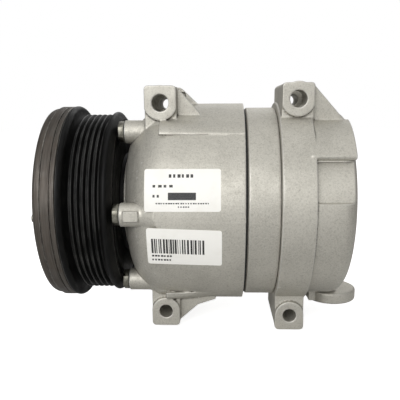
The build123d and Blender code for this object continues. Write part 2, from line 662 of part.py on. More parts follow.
with BuildPart() as bearing_outer_ring:
    ring(BALL_CIRCLE_R + BALL_R - RACE_DEPTH, BEARING_R, BEARING_FRONT, BEARING_REAR)
    for row in ball_rows:
        o_ring(row, BALL_CIRCLE_R, BALL_R + RUNNING, mode=Mode.SUBTRACT)
save(bearing_outer_ring, "bearing_outer_ring")

with BuildPart() as bearing_balls:
    balls(ball_places, BALL_R)
save(bearing_balls, "bearing_balls")

with BuildPart() as bearing_cage:
    for row in ball_rows:
        ring(BALL_CIRCLE_R - 0.8, BALL_CIRCLE_R + 0.8, row - 4.2, row + 4.2)
    balls(ball_places, BALL_R + 0.1, mode=Mode.SUBTRACT)
save(bearing_cage, "bearing_cage")

with BuildPart() as bearing_retaining_ring:
    ring(19.0, 22.6, -17.5, -16.3)
    with Locations((-17, 0, 21)):
        Box(4, 8, 6, mode=Mode.SUBTRACT)
save(bearing_retaining_ring, "bearing_retaining_ring")

# ---------------------------------------------------------------- pulley
with BuildPart() as pulley_rim:
    with BuildSketch(Plane.XZ):
        with BuildLine():
            Line((RIM_FRONT, RIM_BORE_R), (RIM_FRONT, RIM_SHOULDER_R - 0.5))
            Line((RIM_FRONT, RIM_SHOULDER_R - 0.5), (RIM_FRONT + 0.5, RIM_SHOULDER_R))
            Line((RIM_FRONT + 0.5, RIM_SHOULDER_R), (-13.8, RIM_SHOULDER_R))
            ThreePointArc((-13.8, RIM_SHOULDER_R), (-12.0, RIM_SHOULDER_R - 1.2),
                          (-11.3, RIM_SHOULDER_R - 3.4))
            Line((-11.3, RIM_SHOULDER_R - 3.4), (-BELT_HALF - 0.2, CREST_R))
            for index in range(GROOVES):
                middle = (index - (GROOVES - 1) / 2) * GROOVE_PITCH
                floor_r = CREST_R - GROOVE_DEPTH
                left = middle - GROOVE_HALF if index else -BELT_HALF - 0.2
                if index:
                    Line((middle - GROOVE_PITCH + GROOVE_HALF, CREST_R), (left, CREST_R))
                Polyline((left, CREST_R), (middle - GROOVE_FLOOR, floor_r), (middle + GROOVE_FLOOR, floor_r),
                         (middle + GROOVE_HALF, CREST_R))
            last = (GROOVES - 1) / 2 * GROOVE_PITCH + GROOVE_HALF
            Line((last, CREST_R), (BELT_HALF + 0.6, CREST_R + 0.9))
            ThreePointArc((BELT_HALF + 0.6, CREST_R + 0.9), (BELT_HALF + 2.4, CREST_R + 1.7),
                          (BELT_HALF + 4.2, CREST_R + 0.6))
            Line((BELT_HALF + 4.2, CREST_R + 0.6), (RIM_REAR, CREST_R - 2.6))
            Line((RIM_REAR, CREST_R - 2.6), (RIM_REAR, RIM_BORE_R))
            Line((RIM_REAR, RIM_BORE_R), (RIM_FRONT, RIM_BORE_R))
        make_face()
    revolve(axis=Axis.X)
save(pulley_rim, "pulley_rim")

with BuildPart() as clutch_rotor:
    turned((FRICTION_X, BEARING_R), (FRICTION_X, ROTOR_R - 0.4), (FRICTION_X + 0.4, ROTOR_R),
           (-18.9, ROTOR_R), (-18.7, ROTOR_R - 0.9), (-18.3, ROTOR_R - 0.9), (-18.1, ROTOR_R),
           (-15.9, ROTOR_R), (-15.4, ROTOR_R - 0.5), (-15.4, RIM_BORE_R), (14.0, RIM_BORE_R),
           (14.0, 53.0), (ROTOR_WEB_BACK, 53.0),
           (ROTOR_WEB_BACK, 34.6), (BEARING_REAR + 1.5, 34.6), (BEARING_REAR + 1.5, BEARING_R),
           (BEARING_FRONT, BEARING_R), (BEARING_FRONT, BEARING_R - 1.6), (-17.4, BEARING_R - 1.6),
           (-17.4, BEARING_R - 2.4), (FRICTION_X, BEARING_R - 2.4))
    with BuildSketch(Plane.YZ.offset(FRICTION_X - 1)):
        for index in range(4):
            SlotArc(CenterArc((0, 0), 51.0, 20 + 90 * index, 66), 2.6)
            SlotArc(CenterArc((0, 0), 41.0, 56 + 90 * index, 62), 2.6)
    extrude(amount=10, mode=Mode.SUBTRACT)
save(clutch_rotor, "clutch_rotor")

# ---------------------------------------------------------------- armature and hub
balance_spot = Locations(polar_yz(*BALANCE_RIVET))
with BuildPart() as armature_plate:
    turned((ARMATURE_BACK, 27.0), (ARMATURE_BACK, ARMATURE_R - 0.4), (ARMATURE_BACK - 0.4, ARMATURE_R),
           (ARMATURE_FRONT + 2.2, ARMATURE_R), (ARMATURE_FRONT + 0.7, ARMATURE_R - 0.7),
           (ARMATURE_FRONT, ARMATURE_R - 2.4), (ARMATURE_FRONT, 52.0), (ARMATURE_FRONT + 1.2, 50.8),
           (-27.7, 50.0), (-27.7, 27.0))
    with BuildSketch(Plane.YZ.offset(ARMATURE_FRONT - 1)):
        for index in range(3):
            SlotArc(CenterArc((0, 0), 46.0, 8 + 120 * index, 84), 2.6)
    extrude(amount=10, mode=Mode.SUBTRACT)
    round_bars(arms(HUB_RIVET_ANGLE), 4.6, ARMATURE_FRONT - 1, -20, mode=Mode.SUBTRACT)
    round_bars(arms(ARMATURE_RIVET_ANGLE), 2.0, ARMATURE_FRONT - 1, -20, mode=Mode.SUBTRACT)
    round_bars(balance_spot, 2.0, ARMATURE_FRONT - 1, -20, mode=Mode.SUBTRACT)
save(armature_plate, "armature_plate")

with BuildPart() as clutch_hub:
    with BuildSketch(Plane.YZ.offset(HUB_FRONT)):
        with PolarLocations(RIVET_CIRCLE_R - 1, SPRING_ARMS, start_angle=HUB_RIVET_ANGLE):
            Circle(8.0)
        make_hull()
    extrude(amount=2.0)
    ring(0, 24.0, HUB_FRONT, -24.9)
    fillet(clutch_hub.edges().group_by(Axis.X)[0], 0.6)
    ring(0, 11.0, -24.9, HUB_BACK)
    ring(0, 19.5, -32, -27.2, mode=Mode.SUBTRACT)
    ring(0, SHAFT_HUB_R + 0.02, -30, 0, mode=Mode.SUBTRACT)
    with Locations((-14.0, 0, SHAFT_HUB_R)):
        Box(18.04, 3.04, 3.44, mode=Mode.SUBTRACT)
    round_bars(arms(HUB_RIVET_ANGLE), 2.0, -32, -28, mode=Mode.SUBTRACT)
    round_bars(PolarLocations(15.0, 3, start_angle=30), 1.7, -32, -20, mode=Mode.SUBTRACT)
save(clutch_hub, "clutch_hub")

with BuildPart() as armature_springs:
    with BuildSketch(Plane.YZ.offset(SPRING_X)):
        for index in range(SPRING_ARMS):
            SlotArc(CenterArc((0, 0), RIVET_CIRCLE_R, HUB_RIVET_ANGLE + 120 * index, 60), 8.6)
        with arms(HUB_RIVET_ANGLE):
            Circle(2.0, mode=Mode.SUBTRACT)
        with arms(ARMATURE_RIVET_ANGLE):
            Circle(2.0, mode=Mode.SUBTRACT)
    extrude(amount=SPRING_THICKNESS)
save(armature_springs, "armature_springs")

with BuildPart() as hub_rivets:
    round_bars(arms(HUB_RIVET_ANGLE), 3.6, HUB_FRONT - 1, HUB_FRONT)
    fillet(hub_rivets.edges().group_by(Axis.X)[0], 0.6)
    round_bars(arms(HUB_RIVET_ANGLE), RIVET_SHANK_R, HUB_FRONT, SPRING_X + SPRING_THICKNESS)
    round_bars(arms(HUB_RIVET_ANGLE), 3.2, SPRING_X + SPRING_THICKNESS, -27.2)
save(hub_rivets, "hub_rivets")

with BuildPart() as armature_rivets:
    round_bars(arms(ARMATURE_RIVET_ANGLE), 3.4, SPRING_X - 1, SPRING_X)
    fillet(armature_rivets.edges().group_by(Axis.X)[0], 0.6)
    round_bars(arms(ARMATURE_RIVET_ANGLE), RIVET_SHANK_R, SPRING_X, ARMATURE_BACK - 0.2)
    round_bars(arms(ARMATURE_RIVET_ANGLE), 3.4, SPRING_X + SPRING_THICKNESS, -27.7)
    # Balance rivet near the rim
    round_bars(balance_spot, 2.6, ARMATURE_FRONT - 1.6, ARMATURE_FRONT)
    fillet(armature_rivets.edges().group_by(Axis.X)[0], 0.5)
    round_bars(balance_spot, RIVET_SHANK_R, ARMATURE_FRONT, ARMATURE_BACK - 0.2)
save(armature_rivets, "armature_rivets")

# ---------------------------------------------------------------- shaft and its front fixings
with BuildPart() as drive_shaft:
    turned((SHAFT_FRONT, 0), (SHAFT_FRONT, 3.2), (SHAFT_FRONT + 0.8, 4.0), (-26.0, 4.0), (-26.0, SHAFT_HUB_R),
           (-4.0, SHAFT_HUB_R), (-4.0, SHAFT_SEAL_R), (24.0, SHAFT_SEAL_R), (24.0, SHAFT_R), (78.0, SHAFT_R),
           (78.0, SHAFT_TAIL_R), (SHAFT_END - 0.8, SHAFT_TAIL_R), (SHAFT_END, SHAFT_TAIL_R - 0.8),
           (SHAFT_END, 0))
    with Locations((-14.0, 0, SHAFT_HUB_R)):
        Box(18.04, 3.04, 3.44, mode=Mode.SUBTRACT)
save(drive_shaft, "drive_shaft")

with BuildPart() as shaft_key:
    with Locations((-14.0, 0, SHAFT_HUB_R)):
        Box(18.0, 3.0, 3.4)
    fillet(shaft_key.edges().filter_by(Axis.Z), 1.4)
save(shaft_key, "shaft_key")

with BuildPart() as shaft_nut:
    with BuildSketch(Plane.YZ.offset(-31.6)):
        RegularPolygon(6.5, 6, major_radius=False)
    extrude(amount=4.4)
    ring(0, 7.1, -31.6, -27.2, mode=Mode.INTERSECT)
    ring(0, 4.02, -32, -27, mode=Mode.SUBTRACT)
save(shaft_nut, "shaft_nut")

with BuildPart() as shaft_seal_case:
    turned((4.0, 12.6), (4.0, 14.96), (14.0, 14.96), (14.0, 11.0), (12.8, 11.0), (12.8, 13.6), (5.2, 13.6),
           (5.2, 12.6))
save(shaft_seal_case, "shaft_seal_case")

with BuildPart() as shaft_seal_lip:
    turned((5.4, 13.5), (12.6, 13.5), (12.6, 11.8), (8.6, 11.8), (7.4, SHAFT_SEAL_R + RUNNING),
           (6.2, SHAFT_SEAL_R + RUNNING), (6.2, 11.6), (5.4, 12.5))
save(shaft_seal_lip, "shaft_seal_lip")

with BuildPart() as seal_retaining_ring:
    ring(12.6, NOSE_BORE_R + 1.1, 1.8, 3.0)
    with Locations((2.4, 0, 14)):
        Box(4, 7, 6, mode=Mode.SUBTRACT)
save(seal_retaining_ring, "seal_retaining_ring")

# ---------------------------------------------------------------- bearings of the shaft
with BuildPart() as front_bearing:
    ring(12.56, 12.98, 26.0, 38.0)
    round_bars(PolarLocations(SHAFT_R + RUNNING + NEEDLE_R, 22), NEEDLE_R, 27.0, 37.0)
save(front_bearing, "front_bearing")

with BuildPart() as rear_bearing:
    ring(10.56, 10.98, 93.0, 105.0)
    round_bars(PolarLocations(SHAFT_TAIL_R + RUNNING + NEEDLE_R, 18), NEEDLE_R, 94.0, 104.0)
save(rear_bearing, "rear_bearing")

with BuildPart() as front_thrust_races:
    ring(13.4, 24.0, 40.05, 41.0)
    ring(13.4, 24.0, 43.05, 43.95)
save(front_thrust_races, "front_thrust_races")

with BuildPart() as front_thrust_needles:
    radial_needles(20, 18.8, 8.0, 42.03, 0.98)
save(front_thrust_needles, "front_thrust_needles")

# ---------------------------------------------------------------- drive lug and journal
with BuildPart() as drive_lug:
    ring(SHAFT_R, 26.0, LUG_START, LUG_END)
    fillet(drive_lug.edges().filter_by(GeomType.CIRCLE).group_by(Axis.X)[-1].sort_by(SortBy.RADIUS)[-1], 1.0)
    with Locations((LUG_END - 1, 5.6, LUG_PIN_Z), (LUG_END - 1, -5.6, LUG_PIN_Z)):
        Box(8.2, 4.4, 11.0, align=(Align.MIN, Align.CENTER, Align.CENTER))
    with Locations((LUG_END - 1, 0, -20.0)):
        Box(6.0, 22.0, 9.0, align=(Align.MIN, Align.CENTER, Align.CENTER))
    with BuildSketch(Plane.XZ.offset(-20)) as slot:
        with Locations((LUG_PIN_X, LUG_PIN_Z)):
            SlotCenterToCenter(3.0, 4.6, rotation=62)
    extrude(slot.sketch, amount=40, mode=Mode.SUBTRACT)
save(drive_lug, "drive_lug")

with BuildPart() as lug_pin:
    bar_along_y(LUG_PIN_X, LUG_PIN_Z, 2.26, -8.6, 8.6)
save(lug_pin, "lug_pin")

with BuildPart() as sleeve:
    ring(SHAFT_R + RUNNING, JOURNAL_BORE_R - RUNNING, 57.4, 77.0)
save(sleeve, "sleeve")

with BuildPart() as journal:
    ring(JOURNAL_BORE_R, JOURNAL_R, 60.0, PLATE_REAR + 2.6)
    ring(JOURNAL_BORE_R, 33.0, 57.6, 60.6)
    with Locations((LUG_PIN_X, 0, LUG_PIN_Z)):
        Box(6.4, 6.0, 6.4)
    with Locations((57.6, 0, LUG_PIN_Z)):
        Box(4.4, 6.0, 7.0)
    bar_along_y(LUG_PIN_X, LUG_PIN_Z, 2.3, -10, 10, mode=Mode.SUBTRACT)
    bar_along_y(TRUNNION_X, 0, 2.52, -40, 40, mode=Mode.SUBTRACT)
    turned((PLATE_REAR + 1.0, JOURNAL_R - 1.2), (PLATE_REAR + 1.0, JOURNAL_R + 1),
           (PLATE_REAR + 2.0, JOURNAL_R + 1), (PLATE_REAR + 2.0, JOURNAL_R - 1.2), mode=Mode.SUBTRACT)
save(journal, "journal")

with BuildPart() as journal_pins:
    bar_along_y(TRUNNION_X, 0, 2.5, 13.0, 21.0)
    mirror(about=Plane.XZ)
save(journal_pins, "journal_pins")

with BuildPart() as return_spring:
    with BuildLine() as coil:
        Helix(pitch=1.86, height=5.58, radius=11.6, center=(50.75, 0, 0), direction=(1, 0, 0))
    with BuildSketch(Plane(origin=coil.line @ 0, z_dir=coil.line % 0)):
        Circle(0.7)
    sweep(is_frenet=True)
save(return_spring, "return_spring")

# ---------------------------------------------------------------- wobble plate
with BuildPart() as plate_thrust_races:
    ring(23.0, 32.6, 60.66, 61.4)
    ring(23.0, 32.6, 63.24, 63.96)
save(plate_thrust_races, "plate_thrust_races")

with BuildPart() as plate_thrust_needles:
    radial_needles(26, 27.9, 8.0, 62.32, 0.88)
save(plate_thrust_needles, "plate_thrust_needles")

with BuildPart() as plate_bush:
    ring(JOURNAL_R + RUNNING, 23.5, PLATE_FRONT, PLATE_REAR)
save(plate_bush, "plate_bush")

guide_y, guide_z = polar_yz(GUIDE_R, GUIDE_ANGLE)
rod_balls = spots_round(ROD_BALL_X, CYLINDER_CIRCLE_R, CYLINDERS, FIRST_CYLINDER)
piston_balls = spots_round(PISTON_BALL_X, CYLINDER_CIRCLE_R, CYLINDERS, FIRST_CYLINDER)
with BuildPart() as wobble_plate:
    ring(23.5, PLATE_R, PLATE_FRONT, PLATE_REAR)
    fillet(wobble_plate.edges().filter_by(GeomType.CIRCLE).sort_by(SortBy.RADIUS)[-2:], 1.2)
    with BuildSketch(Plane.YZ.offset(PLATE_FRONT)):
        with Locations((guide_y * 0.93, guide_z * 0.93)):
            RectangleRounded(12.4, 17.0, 3.0)
    extrude(amount=PLATE_REAR - PLATE_FRONT)
    balls(rod_balls, ROD_BALL_R + RUNNING, tilt=90, mode=Mode.SUBTRACT)
    for spot in rod_balls:
        with Locations(Location(spot, (0, 90, 0))):
            Cone(4.2, 5.0, 6, align=(Align.CENTER, Align.CENTER, Align.MIN), mode=Mode.SUBTRACT)
    round_bars(Locations((guide_y, guide_z)), GUIDE_PIN_R + RUNNING, PLATE_FRONT - 1, PLATE_REAR + 1,
               mode=Mode.SUBTRACT)
save(wobble_plate, "wobble_plate")

with BuildPart() as guide_pin:
    round_bars(Locations((guide_y, guide_z)), GUIDE_PIN_R, GUIDE_PIN_FRONT, BLOCK_FRONT)
    chamfer(guide_pin.edges(), 0.4)
save(guide_pin, "guide_pin")

# ---------------------------------------------------------------- rods and pistons
with BuildPart() as connecting_rods:
    balls(rod_balls, ROD_BALL_R, tilt=90)
    balls(piston_balls, PISTON_BALL_R, tilt=90)
    round_bars(cylinder_spots(), 3.0, ROD_BALL_X, PISTON_BALL_X)
save(connecting_rods, "connecting_rods")

with BuildPart() as pistons:
    round_bars(cylinder_spots(), BORE_R - RUNNING, PISTON_SKIRT, PISTON_CROWN)
    round_bars(cylinder_spots(), 12.5, PISTON_SKIRT - 1, PISTON_BALL_X - 4.0, mode=Mode.SUBTRACT)
    round_bars(cylinder_spots(), 4.0, PISTON_SKIRT - 1, PISTON_BALL_X, mode=Mode.SUBTRACT)
    balls(piston_balls, PISTON_BALL_R + RUNNING, tilt=90, mode=Mode.SUBTRACT)
    for seat in RING_SEATS:
        with BuildSketch(Plane.YZ.offset(seat)):
            with cylinder_spots():
                Circle(BORE_R + 1)
                Circle(15.2, mode=Mode.SUBTRACT)
        extrude(amount=RING_WIDTH, mode=Mode.SUBTRACT)
save(pistons, "pistons")

with BuildPart() as piston_rings:
    for seat in RING_SEATS:
        with BuildSketch(Plane.YZ.offset(seat + 0.05)):
            with cylinder_spots():
                Circle(BORE_R - 0.02)
                Circle(15.3, mode=Mode.SUBTRACT)
        extrude(amount=RING_WIDTH - 0.1)
save(piston_rings, "piston_rings")

# ---------------------------------------------------------------- control valve
with BuildPart() as control_valve_body:
    turned_along_y(CONTROL_VALVE_X, CONTROL_VALVE_Z, (0, CONTROL_VALVE_SEAT), (6.0, CONTROL_VALVE_SEAT),
                   (CONTROL_VALVE_R, CONTROL_VALVE_SEAT + 2.0), (CONTROL_VALVE_R, CONTROL_VALVE_FACE - 0.8),
                   (CONTROL_VALVE_R - 0.8, CONTROL_VALVE_FACE), (0, CONTROL_VALVE_FACE))
    for groove in VALVE_GROOVES:
        turned_along_y(CONTROL_VALVE_X, CONTROL_VALVE_Z, (VALVE_GROOVE_R, groove), (9, groove),
                       (9, groove + 2.2), (VALVE_GROOVE_R, groove + 2.2), mode=Mode.SUBTRACT)
    turned_along_y(CONTROL_VALVE_X, CONTROL_VALVE_Z, (0, 9), (VALVE_ROD_R + RUNNING, 9),
                   (VALVE_ROD_R + RUNNING, 44), (0, 44), mode=Mode.SUBTRACT)
    turned_along_y(CONTROL_VALVE_X, CONTROL_VALVE_Z, (0, 49.5), (3.0, 49.5), (3.0, 54), (0, 54),
                   mode=Mode.SUBTRACT)
save(control_valve_body, "control_valve_body")

with BuildPart() as control_valve_rod:
    turned_along_y(CONTROL_VALVE_X, CONTROL_VALVE_Z, (0, 11.0), (1.6, 11.0), (VALVE_ROD_R, 12.0),
                   (VALVE_ROD_R, 43.0), (0, 43.0))
save(control_valve_rod, "control_valve_rod")

valve_plane = Plane(origin=(CONTROL_VALVE_X, 0, CONTROL_VALVE_Z), x_dir=(1, 0, 0), z_dir=(0, 0, 1))
with BuildPart() as control_valve_o_rings:
    for groove in VALVE_GROOVES:
        with BuildSketch(valve_plane):
            with Locations((VALVE_GROOVE_R + 0.71, groove + 1.1)):
                Circle(0.69)
        revolve(axis=Axis((CONTROL_VALVE_X, 0, CONTROL_VALVE_Z), (0, 1, 0)))
save(control_valve_o_rings, "control_valve_o_rings")

with BuildPart() as control_valve_retaining_ring:
    with BuildSketch(Plane.XZ.offset(-52.4)):
        with Locations((CONTROL_VALVE_X, CONTROL_VALVE_Z)):
            Circle(9.1)
            Circle(6.6, mode=Mode.SUBTRACT)
        with Locations((CONTROL_VALVE_X, CONTROL_VALVE_Z + 8)):
            Rectangle(4.5, 5, mode=Mode.SUBTRACT)
    extrude(amount=-1.2)
save(control_valve_retaining_ring, "control_valve_retaining_ring")

# ---------------------------------------------------------------- pressure relief valve
with BuildPart() as relief_valve_body:
    with BuildSketch(Plane.XZ.offset(-RELIEF_FACE)):
        with Locations((RELIEF_X, RELIEF_Z)):
            RegularPolygon(8.5, 6, major_radius=False)
    extrude(amount=-6.0)
    turned_along_y(RELIEF_X, RELIEF_Z, (0, 58.0), (9.6, 58.0), (9.6, 63.2), (8.4, 64.4), (0, 64.4),
                   mode=Mode.INTERSECT)
    turned_along_y(RELIEF_X, RELIEF_Z, (0, RELIEF_SEAT + 0.2), (5.2, RELIEF_SEAT + 0.2),
                   (6.0, RELIEF_SEAT + 1), (6.0, 58.6), (0, 58.6))
    turned_along_y(RELIEF_X, RELIEF_Z, (0, RELIEF_SEAT - 1), (1.8, RELIEF_SEAT - 1), (1.8, 46.0), (3.4, 46.0),
                   (3.4, 62.4), (2.0, 62.4), (2.0, 66.0), (0, 66.0), mode=Mode.SUBTRACT)
save(relief_valve_body, "relief_valve_body")

with BuildPart() as relief_poppet:
    turned_along_y(RELIEF_X, RELIEF_Z, (0, 46.1), (3.3, 46.1), (3.3, 49.0), (1.5, 49.6), (1.5, 52.0),
                   (0, 52.0))
save(relief_poppet, "relief_poppet")

with BuildPart() as relief_spring:
    with BuildLine() as relief_coil:
        Helix(pitch=2.4, height=11.2, radius=2.5, center=(RELIEF_X, 50.3, RELIEF_Z), direction=(0, 1, 0))
    with BuildSketch(Plane(origin=relief_coil.line @ 0, z_dir=relief_coil.line % 0)):
        Circle(0.5)
    sweep(is_frenet=True)
save(relief_spring, "relief_spring")
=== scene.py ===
"""Looks of a car air-conditioning compressor.

The castings get soft skins, the machined parts get broken edges, and every node gets a procedural finish.
Two paper labels carry generic print.

The frame is the CAD model's own: X along the drive shaft towards the rear head, Z up, metres.
"""

import json
import math
import random

import bmesh
import bpy
from mathutils import Matrix, Vector


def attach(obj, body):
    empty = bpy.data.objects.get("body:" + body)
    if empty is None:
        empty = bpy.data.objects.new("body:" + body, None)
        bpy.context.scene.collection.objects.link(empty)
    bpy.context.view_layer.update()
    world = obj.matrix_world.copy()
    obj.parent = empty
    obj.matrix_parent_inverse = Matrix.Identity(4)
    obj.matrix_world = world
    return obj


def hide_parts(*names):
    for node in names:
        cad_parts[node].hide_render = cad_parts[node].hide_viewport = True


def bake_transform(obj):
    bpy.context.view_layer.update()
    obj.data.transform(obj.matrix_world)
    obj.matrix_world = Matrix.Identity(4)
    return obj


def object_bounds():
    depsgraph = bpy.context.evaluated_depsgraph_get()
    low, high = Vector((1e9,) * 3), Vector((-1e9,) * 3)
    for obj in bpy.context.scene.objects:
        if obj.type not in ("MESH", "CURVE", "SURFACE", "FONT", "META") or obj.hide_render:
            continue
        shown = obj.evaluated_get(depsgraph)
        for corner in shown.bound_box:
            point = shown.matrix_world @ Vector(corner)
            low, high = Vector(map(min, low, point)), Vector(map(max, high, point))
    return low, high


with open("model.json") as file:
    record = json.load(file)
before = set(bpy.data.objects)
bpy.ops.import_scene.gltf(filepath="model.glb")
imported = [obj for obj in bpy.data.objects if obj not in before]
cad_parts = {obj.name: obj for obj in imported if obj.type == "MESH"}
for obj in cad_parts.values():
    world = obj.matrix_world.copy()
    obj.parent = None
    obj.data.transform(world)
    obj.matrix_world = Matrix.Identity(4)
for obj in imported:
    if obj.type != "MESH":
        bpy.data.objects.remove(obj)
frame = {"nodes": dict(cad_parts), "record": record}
cad_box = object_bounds()

MM = 0.001
BODY_OF = {node: body for body, nodes in frame["record"]["behaviour"]["bodies"].items() for node in nodes}
SLOT_OF = {row["node"]: row["material_slot"] for row in frame["record"]["subparts"]}
scene = bpy.context.scene


# ---------------------------------------------------------------- camera
CAMERA_PLACE = Vector((83.1, -368.8, 61.7)) * MM
CAMERA_ABOVE = 9.5                       # degrees that the camera stands above the shaft's level
CAMERA_TURN = 1.88                       # degrees that it looks towards the pulley
CAMERA_NOD = 3.15                        # degrees that it looks further down
camera_data = bpy.data.cameras.new("camera")
camera_data.sensor_width = 36.0
camera_data.lens = 47.4
camera_data.shift_x = -0.008
camera_data.shift_y = 0.075
camera = bpy.data.objects.new("camera", camera_data)
scene.collection.objects.link(camera)
camera.matrix_world = (
    Matrix.Translation(CAMERA_PLACE)
    @ Matrix.Rotation(math.radians(-CAMERA_ABOVE), 4, "X")
    @ Matrix.Rotation(math.radians(CAMERA_TURN), 4, "Z")
    @ Matrix.Rotation(math.radians(90.0 - CAMERA_NOD), 4, "X")
)
scene.camera = camera
scene.view_settings.view_transform = "Standard"


# ---------------------------------------------------------------- material nodes
class Finish:
    """One node material, with short calls for the nodes that the finishes below share."""

    def __init__(self, name, metallic, roughness, **constants):
        self.material = bpy.data.materials.new(name)
        self.material.use_nodes = True
        self.nodes = self.material.node_tree.nodes
        self.links = self.material.node_tree.links
        self.shader = self.nodes["Principled BSDF"]
        self.shader.inputs["Metallic"].default_value = metallic
        self.shader.inputs["Roughness"].default_value = roughness
        for socket, value in constants.items():
            self.shader.inputs[socket.replace("_", " ")].default_value = value
        self.place = self.nodes.new("ShaderNodeTexCoord").outputs["Object"]

    def link(self, source, target):
        self.links.new(source, target)

    def stretched(self, x, y, z):
        """Object coordinates scaled along each axis, for grain that runs one way."""
        node = self.nodes.new("ShaderNodeMapping")
        node.inputs["Scale"].default_value = (x, y, z)
        self.link(self.place, node.inputs["Vector"])
        return node.outputs["Vector"]

    def noise(self, size, detail=3.0, rough=0.55, vector=None):
        """Noise whose blotches are about this size, in metres."""
        node = self.nodes.new("ShaderNodeTexNoise")
        node.inputs["Scale"].default_value = 1.0 / size
        node.inputs["Detail"].default_value = detail
        node.inputs["Roughness"].default_value = rough
        self.link(vector or self.place, node.inputs["Vector"])
        return node.outputs["Fac"]

    def ramp(self, value, low, high, start=0.0, end=1.0):
        """value from low to high, spread over start to end."""
        node = self.nodes.new("ShaderNodeMapRange")
        node.inputs["From Min"].default_value = low
        node.inputs["From Max"].default_value = high
        node.inputs["To Min"].default_value = start
        node.inputs["To Max"].default_value = end
        self.link(value, node.inputs["Value"])
        return node.outputs["Result"]

    def math(self, operation, a, b):
        node = self.nodes.new("ShaderNodeMath")
        node.operation = operation
        for socket, value in zip(node.inputs, (a, b)):
            if isinstance(value, (int, float)):
                socket.default_value = value
            else:
                self.link(value, socket)
        return node.outputs["Value"]

    def mix(self, share, first, second):
        """A colour between two, each a colour or a socket."""
        node = self.nodes.new("ShaderNodeMix")
        node.data_type = "RGBA"
        self.link(share, node.inputs["Factor"])
        for socket, value in zip((node.inputs[6], node.inputs[7]), (first, second)):
            if isinstance(value, tuple):
                socket.default_value = (*value, 1.0)
            else:
                self.link(value, socket)
        return node.outputs[2]

    def edges(self, low, high):
        """0 on flat faces to 1 on outer edges, from the mesh's own pointiness."""
        return self.ramp(self.nodes.new("ShaderNodeNewGeometry").outputs["Pointiness"], low, high)

    def axis(self, index):
        node = self.nodes.new("ShaderNodeSeparateXYZ")
        self.link(self.place, node.inputs["Vector"])
        return node.outputs[index]

    def colour(self, value):
        if isinstance(value, tuple):
            self.shader.inputs["Base Color"].default_value = (*value, 1.0)
        else:
            self.link(value, self.shader.inputs["Base Color"])

    def roughness(self, value):
        self.link(value, self.shader.inputs["Roughness"])

    def bump(self, height, depth, strength=1.0):
        """height, from 0 to 1, as relief of this depth in metres; a second call adds to the first."""
        node = self.nodes.new("ShaderNodeBump")
        node.inputs["Distance"].default_value = depth
        node.inputs["Strength"].default_value = strength
        self.link(height, node.inputs["Height"])
        before = self.shader.inputs["Normal"]
        if before.is_linked:
            self.link(before.links[0].from_socket, node.inputs["Normal"])
        self.link(node.outputs["Normal"], before)


# ---------------------------------------------------------------- finishes
EAR_FACE = -37.3 * MM                    # the machined ear pads lie nearer than this


def cast_aluminium():
    """Shot-blasted casting: warm silver grey, fine grain, painted highlights on outer edges, painted shade in
    creases, smoother machined pads.
    """
    f = Finish("cast_aluminium", 0.72, 0.5)
    grain = f.noise(0.5 * MM, detail=2.0, rough=0.6)
    pores = f.noise(1.1 * MM, detail=4.0, rough=0.65)
    patches = f.noise(26 * MM, detail=3.0)
    machined = f.math("LESS_THAN", f.axis(1), EAR_FACE)
    colour = f.mix(f.ramp(patches, 0.35, 0.68), (0.465, 0.446, 0.392), (0.575, 0.553, 0.490))
    colour = f.mix(f.ramp(grain, 0.35, 0.66, 0.0, 0.60), colour, (0.68, 0.66, 0.595))
    colour = f.mix(f.ramp(pores, 0.32, 0.50, 0.34, 0.0), colour, (0.20, 0.19, 0.16))
    # lighter on outer edges, from high pointiness: a painted highlight
    colour = f.mix(f.edges(0.512, 0.55), colour, (0.66, 0.645, 0.60))
    # darker in creases and corners, from low pointiness: painted shade
    colour = f.mix(f.edges(0.488, 0.45), colour, (0.11, 0.10, 0.085))
    f.colour(colour)
    f.roughness(f.ramp(f.noise(3 * MM), 0.3, 0.7, 0.44, 0.60))
    smooth = f.math("SUBTRACT", 1.0, f.math("MULTIPLY", machined, 0.7))
    f.bump(f.math("MULTIPLY", grain, smooth), 0.10 * MM)
    f.bump(f.math("MULTIPLY", pores, smooth), 0.10 * MM, 0.7)
    return f.material


def turned_metal(name, dark, light, roughness, line=0.25 * MM, depth=0.01 * MM, metallic=1.0):
    """Metal turned about the shaft, with fine rings and slight stains."""
    f = Finish(name, metallic, roughness)
    rings = f.noise(line, detail=2.0, vector=f.stretched(1.0, 0.02, 0.02))
    stains = f.noise(7 * MM, detail=4.0)
    colour = f.mix(f.ramp(rings, 0.3, 0.7), dark, light)
    f.colour(f.mix(f.ramp(stains, 0.42, 0.75, 0.0, 0.4), colour, dark))
    f.roughness(f.ramp(stains, 0.3, 0.7, roughness - 0.06, roughness + 0.08))
    f.bump(rings, depth)
    return f.material


def zinc_bolt():
    """Zinc plating with a faint yellow cast and handling marks."""
    f = Finish("zinc_bolt", 1.0, 0.34)
    cloud = f.noise(2.2 * MM, detail=4.0)
    f.colour(f.mix(f.ramp(cloud, 0.35, 0.7), (0.17, 0.163, 0.135), (0.31, 0.30, 0.255)))
    f.roughness(f.ramp(cloud, 0.3, 0.7, 0.26, 0.44))
    f.bump(f.noise(0.5 * MM), 0.02 * MM)
    return f.material


def black_paint():
    """Satin black paint with faint scuffs that run round the rim."""
    f = Finish("black_paint", 0.0, 0.42, Specular_IOR_Level=0.14)
    peel = f.noise(0.8 * MM, detail=2.0)
    scuffs = f.noise(4 * MM, detail=5.0, vector=f.stretched(3.0, 0.6, 0.6))
    f.colour(f.mix(f.ramp(scuffs, 0.45, 0.8), (0.003, 0.003, 0.0028), (0.009, 0.009, 0.0085)))
    f.roughness(f.ramp(scuffs, 0.3, 0.7, 0.36, 0.54))
    f.bump(peel, 0.015 * MM)
    return f.material


